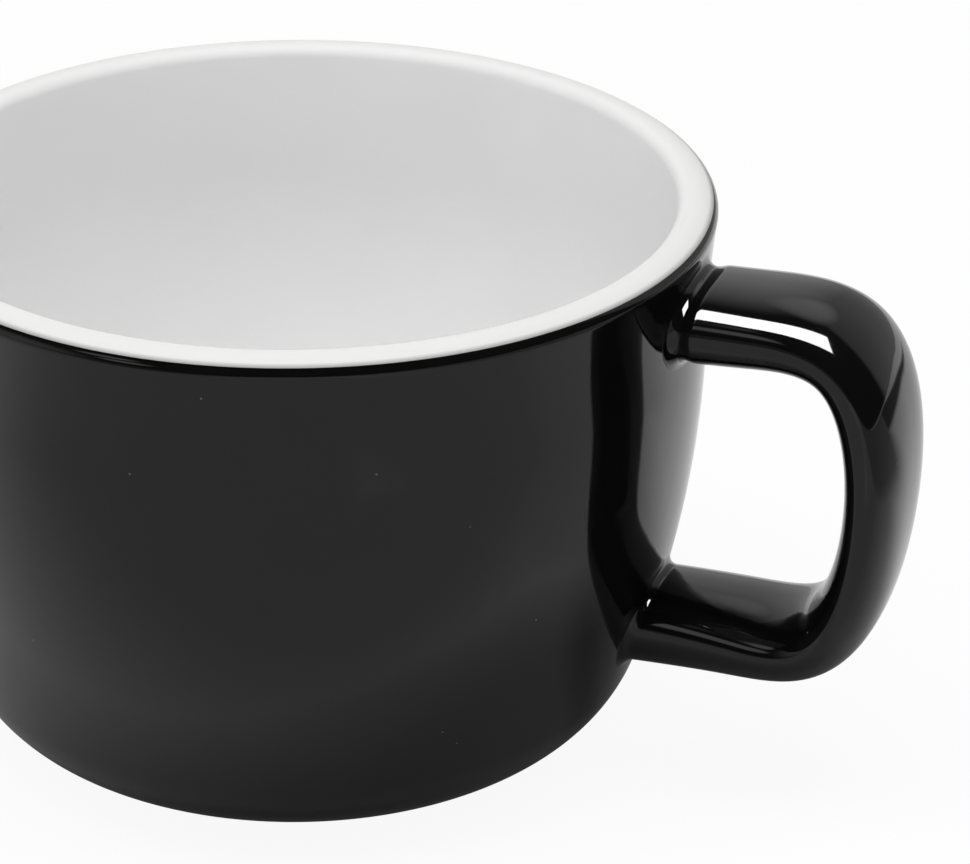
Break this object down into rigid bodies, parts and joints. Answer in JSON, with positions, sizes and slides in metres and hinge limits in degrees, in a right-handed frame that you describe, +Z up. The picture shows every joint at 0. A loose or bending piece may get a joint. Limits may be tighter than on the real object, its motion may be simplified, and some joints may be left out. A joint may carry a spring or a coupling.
{
  "type": "cappuccino cup",
  "caption": "Wide, low stoneware cup with a strap handle luted to its wall, white glaze inside and over the lip and glossy black glaze outside, for holding a hot drink.",
  "frame": {"origin": "middle of the footprint box at table level; the turning axis of the cup stands 12.5 mm along -X from it", "axes": "+Z up along the turning axis, +X towards the handle"},
  "size_m": [0.12, 0.095, 0.0662],
  "materials": {
    "fired_stoneware": "bare fired clay, seen only on the foot ring",
    "fired_slip": "fired luting slip under the glaze",
    "white_glaze": "smooth white gloss glaze",
    "black_glaze": "deep black gloss glaze"
  },
  "bodies": {
    "root": {"cup_body": "fired_stoneware", "handle": "fired_stoneware", "upper_handle_joint": "fired_slip", "lower_handle_joint": "fired_slip", "white_inner_glaze": "white_glaze", "black_outer_glaze": "black_glaze"}
  },
  "joints": []
}
